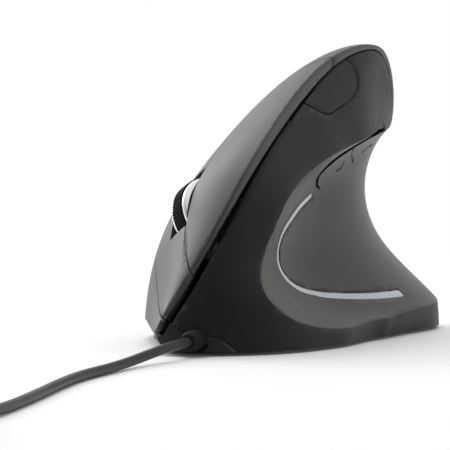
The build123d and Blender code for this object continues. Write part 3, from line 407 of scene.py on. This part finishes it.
# Node group that stands rounded ribs round the tyre; the circle lies in its own XZ plane
def ribTree():
    tree = bpy.data.node_groups.new("wheelRibs", "GeometryNodeTree")
    tree.interface.new_socket("Geometry", in_out="INPUT", socket_type="NodeSocketGeometry")
    tree.interface.new_socket("Count", in_out="INPUT", socket_type="NodeSocketInt")
    for label in ("Radius", "Thickness", "Width", "Depth"):
        tree.interface.new_socket(label, in_out="INPUT", socket_type="NodeSocketFloat")
    tree.interface.new_socket("Material", in_out="INPUT", socket_type="NodeSocketMaterial")
    tree.interface.new_socket("Geometry", in_out="OUTPUT", socket_type="NodeSocketGeometry")
    nodes, links = tree.nodes, tree.links
    given = nodes.new("NodeGroupInput")
    points = nodes.new("GeometryNodePoints")
    links.new(given.outputs["Count"], points.inputs["Count"])
    index = nodes.new("GeometryNodeInputIndex")
    share = nodes.new("ShaderNodeMath")
    share.operation = "DIVIDE"
    links.new(index.outputs[0], share.inputs[0])
    links.new(given.outputs["Count"], share.inputs[1])
    angle = nodes.new("ShaderNodeMath")
    angle.operation = "MULTIPLY"
    angle.inputs[1].default_value = 2 * math.pi
    links.new(share.outputs[0], angle.inputs[0])
    place = nodes.new("ShaderNodeCombineXYZ")
    for operation, axis in (("SINE", "X"), ("COSINE", "Z")):
        wave = nodes.new("ShaderNodeMath")
        wave.operation = operation
        links.new(angle.outputs[0], wave.inputs[0])
        reach = nodes.new("ShaderNodeMath")
        reach.operation = "MULTIPLY"
        links.new(wave.outputs[0], reach.inputs[0])
        links.new(given.outputs["Radius"], reach.inputs[1])
        links.new(reach.outputs[0], place.inputs[axis])
    links.new(place.outputs[0], points.inputs["Position"])
    turn = nodes.new("ShaderNodeCombineXYZ")
    links.new(angle.outputs[0], turn.inputs["Y"])
    size = nodes.new("ShaderNodeCombineXYZ")
    for label, axis in (("Thickness", "X"), ("Width", "Y"), ("Depth", "Z")):
        links.new(given.outputs[label], size.inputs[axis])
    block = nodes.new("GeometryNodeMeshCube")
    links.new(size.outputs[0], block.inputs["Size"])
    for axis, count in zip("XYZ", ribCuts):
        block.inputs["Vertices " + axis].default_value = count
    rounded = nodes.new("GeometryNodeSubdivisionSurface")
    rounded.inputs["Level"].default_value = 1
    links.new(block.outputs["Mesh"], rounded.inputs["Mesh"])
    spread = nodes.new("GeometryNodeInstanceOnPoints")
    links.new(points.outputs[0], spread.inputs["Points"])
    links.new(rounded.outputs["Mesh"], spread.inputs["Instance"])
    links.new(turn.outputs[0], spread.inputs["Rotation"])
    joined = nodes.new("GeometryNodeJoinGeometry")
    links.new(given.outputs["Geometry"], joined.inputs[0])
    links.new(spread.outputs["Instances"], joined.inputs[0])
    real = nodes.new("GeometryNodeRealizeInstances")
    links.new(joined.outputs[0], real.inputs[0])
    coloured = nodes.new("GeometryNodeSetMaterial")
    links.new(real.outputs[0], coloured.inputs["Geometry"])
    links.new(given.outputs["Material"], coloured.inputs["Material"])
    result = nodes.new("NodeGroupOutput")
    links.new(coloured.outputs[0], result.inputs[0])
    return tree


def grownMesh(name, mesh, tree, values):
    holder = bpy.data.objects.new(name + "Holder", mesh)
    bpy.context.scene.collection.objects.link(holder)
    modifier = holder.modifiers.new("growth", "NODES")
    modifier.node_group = tree
    for item in tree.interface.items_tree:
        if item.item_type == "SOCKET" and item.in_out == "INPUT" and item.name in values:
            modifier[item.identifier] = values[item.name]
    bpy.context.view_layer.update()
    result = bpy.data.meshes.new_from_object(holder.evaluated_get(bpy.context.evaluated_depsgraph_get()))
    holder.modifiers.remove(modifier)
    bpy.data.objects.remove(holder)
    result.name = name
    return result


madeCrease = 28         # degrees: made meshes are smooth across flatter edges


# A made mesh that stands for a node of the solids
def addReplacement(name, mesh, node, turned):
    mesh.transform(turned)
    mesh.shade_smooth()
    mesh.set_sharp_from_angle(angle=math.radians(madeCrease))
    if not mesh.materials:
        mesh.materials.append(material[slotOf[node]])
    piece = bpy.data.objects.new(name, mesh)
    bpy.context.scene.collection.objects.link(piece)
    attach(piece, bodyOf[node])
    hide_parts(node)


wheelPlace = Matrix.Translation(Vector(wheel["centre"]) * mm) @ Matrix(
    (wheel["along"], wheel["axle"], wheel["out"])).transposed().to_4x4()
tyreMesh = lathed("tyreRing", wheel["tyre"], wheel["segments"])
tyreMesh = grownMesh("ribbedTyre", tyreMesh, ribTree(), {**ribs, "Material": material[slotOf["wheel_tyre"]]})
addReplacement("ribbedTyre", tyreMesh, "wheel_tyre", wheelPlace)
addReplacement("chromeHub", lathed("chromeHub", wheel["hub"], wheel["segments"]), "wheel_hub", wheelPlace)
print("wheel made with", ribs["Count"], "ribs")

# Screws: one is turned and gets its cross recess, and a node group stands a copy on each place
screws = {
    "base_screws": {"up": -1, "shank": 5.2},
    "board_screws": {"up": 1, "shank": 4.6},
}
screwSize = {"headRadius": 1.9, "headHeight": 1.0, "rim": 0.25, "shankRadius": 0.95, "tip": 0.4, "bore": 0.001,
             "rimBend": 0.3, "taper": 0.6, "recessArm": 1.15, "recessWidth": 0.42, "recessDepth": 0.6,
             "segments": 40}
screwReach = 5 * mm     # corners nearer to each other than this belong to one screw
turnSeed = 4


# Middle of each screw of a node, from its own solids; the height is that of the head's outer face
def screwPlaces(node, up):
    groups = []
    for vertex in frame["nodes"][node].data.vertices:
        for group in groups:
            if (group[0].xy - vertex.co.xy).length < screwReach:
                group.append(vertex.co)
                break
        else:
            groups.append([vertex.co])
    places = []
    for group in groups:
        lows = [min(point[axis] for point in group) for axis in range(3)]
        highs = [max(point[axis] for point in group) for axis in range(3)]
        places.append(((lows[0] + highs[0]) / 2, (lows[1] + highs[1]) / 2, highs[2] if up > 0 else lows[2]))
    return places


def screwMesh(name, size, shank):
    head, rim, neck = size["headRadius"], size["rim"], size["shankRadius"]
    under = -size["headHeight"]
    end = under - shank
    bend = rim * size["rimBend"]
    profile = [(size["bore"], 0), (head - rim, 0), (head - bend, -bend), (head, -rim), (head, under),
               (neck, under), (neck, end + size["tip"]), (neck * size["taper"], end), (size["bore"], end)]
    mesh = lathed(name, profile, size["segments"])
    mesh.transform(Matrix.Rotation(math.radians(90), 4, "X"))
    work = bmesh.new()
    for turn in (0, 90):
        made = bmesh.ops.create_cube(work, size=1)["verts"]
        arm = Matrix.Rotation(math.radians(turn), 4, "Z") @ Matrix.Diagonal(
            (2 * size["recessArm"] * mm, size["recessWidth"] * mm, 2 * size["recessDepth"] * mm, 1))
        bmesh.ops.transform(work, matrix=arm, verts=made)
    cutMesh = bpy.data.meshes.new(name + "Cut")
    work.to_mesh(cutMesh)
    work.free()
    cutter = bpy.data.objects.new(name + "Cutter", cutMesh)
    holder = bpy.data.objects.new(name + "Holder", mesh)
    for item in (cutter, holder):
        bpy.context.scene.collection.objects.link(item)
    cutting = holder.modifiers.new("recess", "BOOLEAN")
    cutting.operation = "DIFFERENCE"
    cutting.solver = "EXACT"
    cutting.use_self = True
    cutting.object = cutter
    bpy.context.view_layer.update()
    result = bpy.data.meshes.new_from_object(holder.evaluated_get(bpy.context.evaluated_depsgraph_get()))
    holder.modifiers.remove(cutting)
    for item in (cutter, holder):
        bpy.data.objects.remove(item)
    return result


def screwTree():
    tree = bpy.data.node_groups.new("screwSet", "GeometryNodeTree")
    sockets = (("Geometry", "Geometry"), ("Screw", "Object"), ("Turn", "Float"), ("Material", "Material"))
    for label, kind in sockets:
        tree.interface.new_socket(label, in_out="INPUT", socket_type="NodeSocket" + kind)
    tree.interface.new_socket("Geometry", in_out="OUTPUT", socket_type="NodeSocketGeometry")
    nodes, links = tree.nodes, tree.links
    given = nodes.new("NodeGroupInput")
    screw = nodes.new("GeometryNodeObjectInfo")
    links.new(given.outputs["Screw"], screw.inputs["Object"])
    spun = nodes.new("FunctionNodeRandomValue")
    spun.data_type = "FLOAT"
    spun.inputs[3].default_value = 2 * math.pi
    spun.inputs["Seed"].default_value = turnSeed
    turn = nodes.new("ShaderNodeCombineXYZ")
    links.new(given.outputs["Turn"], turn.inputs["X"])
    links.new(spun.outputs[1], turn.inputs["Z"])
    spread = nodes.new("GeometryNodeInstanceOnPoints")
    links.new(given.outputs["Geometry"], spread.inputs["Points"])
    links.new(screw.outputs["Geometry"], spread.inputs["Instance"])
    links.new(turn.outputs[0], spread.inputs["Rotation"])
    real = nodes.new("GeometryNodeRealizeInstances")
    links.new(spread.outputs["Instances"], real.inputs[0])
    coloured = nodes.new("GeometryNodeSetMaterial")
    links.new(real.outputs[0], coloured.inputs["Geometry"])
    links.new(given.outputs["Material"], coloured.inputs["Material"])
    result = nodes.new("NodeGroupOutput")
    links.new(coloured.outputs[0], result.inputs[0])
    return tree


screwNodes = screwTree()
for node, settings in screws.items():
    places = bpy.data.meshes.new(node + "Places")
    places.from_pydata(screwPlaces(node, settings["up"]), [], [])
    single = bpy.data.objects.new(node + "Single", screwMesh(node + "Single", screwSize, settings["shank"]))
    bpy.context.scene.collection.objects.link(single)
    turn = 0.0 if settings["up"] > 0 else math.pi
    mesh = grownMesh(node + "Set", places, screwNodes,
                     {"Screw": single, "Turn": turn, "Material": material[slotOf[node]]})
    bpy.data.objects.remove(single)
    addReplacement(node + "Set", mesh, node, Matrix.Identity(4))
print("screws set:", len(screws))

# Desk, backdrop and studio light
studio = {
    "floorSize": 6.0,
    "floorColour": (0.86, 0.87, 0.88),
    "floorRough": 0.6,
    "floorShine": 0.2,
    "floorGlow": 0.04,                  # how white the camera sees the floor near the object
    "floorFade": (0.16, 0.42),          # and the distances over which it turns fully white
    "front": (-0.31, 0.95, 0.05),       # the dark side of the room lies behind the camera
    "darkFrom": 0.05,
    "darkTo": 0.85,
    "darkSide": 0.12,
    "world": 1.0,
    "warm": (1.0, 0.985, 0.965),
    "aim": (0, 0, 0.03),
    "lamps": [
        {"name": "topLamp", "place": (0.25, -0.25, 1.3), "power": 7.0, "size": 1.0},
        {"name": "fingerLamp", "place": (1.0, -0.45, 0.6), "power": 6.0, "size": 0.8},
    ],
}


def addFloor(settings):
    size = settings["floorSize"] / 2
    mesh = bpy.data.meshes.new("floor")
    corners = [(-size, -size, 0), (size, -size, 0), (size, size, 0), (-size, size, 0)]
    mesh.from_pydata(corners, [], [(0, 1, 2, 3)])
    floor = bpy.data.objects.new("floor", mesh)
    bpy.context.scene.collection.objects.link(floor)
    surface, nodes, links, shader = finishNodes("floorFinish")
    shader.inputs["Base Color"].default_value = (*settings["floorColour"], 1)
    shader.inputs["Roughness"].default_value = settings["floorRough"]
    shader.inputs["Specular IOR Level"].default_value = settings["floorShine"]
    white = nodes.new("ShaderNodeEmission")
    white.inputs["Color"].default_value = (1, 1, 1, 1)
    white.inputs["Strength"].default_value = 1.0
    place = nodes.new("ShaderNodeTexCoord")
    distance = nodes.new("ShaderNodeVectorMath")
    distance.operation = "LENGTH"
    links.new(place.outputs["Object"], distance.inputs[0])
    fade = nodes.new("ShaderNodeMapRange")
    fade.interpolation_type = "SMOOTHSTEP"
    fade.inputs["From Min"].default_value = settings["floorFade"][0]
    fade.inputs["From Max"].default_value = settings["floorFade"][1]
    fade.inputs["To Min"].default_value = settings["floorGlow"]
    fade.inputs["To Max"].default_value = 1.0
    links.new(distance.outputs["Value"], fade.inputs["Value"])
    ray = nodes.new("ShaderNodeLightPath")
    seen = nodes.new("ShaderNodeMath")
    seen.operation = "MULTIPLY"
    links.new(ray.outputs["Is Camera Ray"], seen.inputs[0])
    links.new(fade.outputs["Result"], seen.inputs[1])
    mix = nodes.new("ShaderNodeMixShader")
    links.new(seen.outputs[0], mix.inputs["Fac"])
    links.new(shader.outputs["BSDF"], mix.inputs[1])
    links.new(white.outputs["Emission"], mix.inputs[2])
    links.new(mix.outputs["Shader"], nodes["Material Output"].inputs["Surface"])
    mesh.materials.append(surface)


def addWorld(settings):
    world = bpy.data.worlds.new("studio")
    world.use_nodes = True
    bpy.context.scene.world = world
    nodes, links = world.node_tree.nodes, world.node_tree.links
    light = nodes["Background"]
    light.inputs["Color"].default_value = (*settings["warm"], 1)
    place = nodes.new("ShaderNodeTexCoord")
    facing = nodes.new("ShaderNodeVectorMath")
    facing.operation = "DOT_PRODUCT"
    links.new(place.outputs["Generated"], facing.inputs[0])
    facing.inputs[1].default_value = Vector(settings["front"]).normalized()
    darker = nodes.new("ShaderNodeMapRange")
    darker.interpolation_type = "SMOOTHSTEP"
    darker.inputs["From Min"].default_value = settings["darkFrom"]
    darker.inputs["From Max"].default_value = settings["darkTo"]
    darker.inputs["To Min"].default_value = settings["world"]
    darker.inputs["To Max"].default_value = settings["darkSide"]
    links.new(facing.outputs["Value"], darker.inputs["Value"])
    links.new(darker.outputs["Result"], light.inputs["Strength"])
    shown = nodes.new("ShaderNodeBackground")
    shown.inputs["Color"].default_value = (1, 1, 1, 1)
    shown.inputs["Strength"].default_value = 1.0
    ray = nodes.new("ShaderNodeLightPath")
    mix = nodes.new("ShaderNodeMixShader")
    links.new(ray.outputs["Is Camera Ray"], mix.inputs["Fac"])
    links.new(light.outputs["Background"], mix.inputs[1])
    links.new(shown.outputs["Background"], mix.inputs[2])
    links.new(mix.outputs["Shader"], nodes["World Output"].inputs["Surface"])


def addLamps(settings):
    for lamp in settings["lamps"]:
        data = bpy.data.lights.new(lamp["name"], "AREA")
        data.energy = lamp["power"]
        data.size = lamp["size"]
        item = bpy.data.objects.new(lamp["name"], data)
        item.location = lamp["place"]
        aim = Vector(settings["aim"]) - Vector(lamp["place"])
        item.rotation_euler = aim.to_track_quat("-Z", "Y").to_euler()
        bpy.context.scene.collection.objects.link(item)


addFloor(studio)
addWorld(studio)
addLamps(studio)
bpy.context.scene.view_settings.view_transform = "Standard"
print("studio ready")
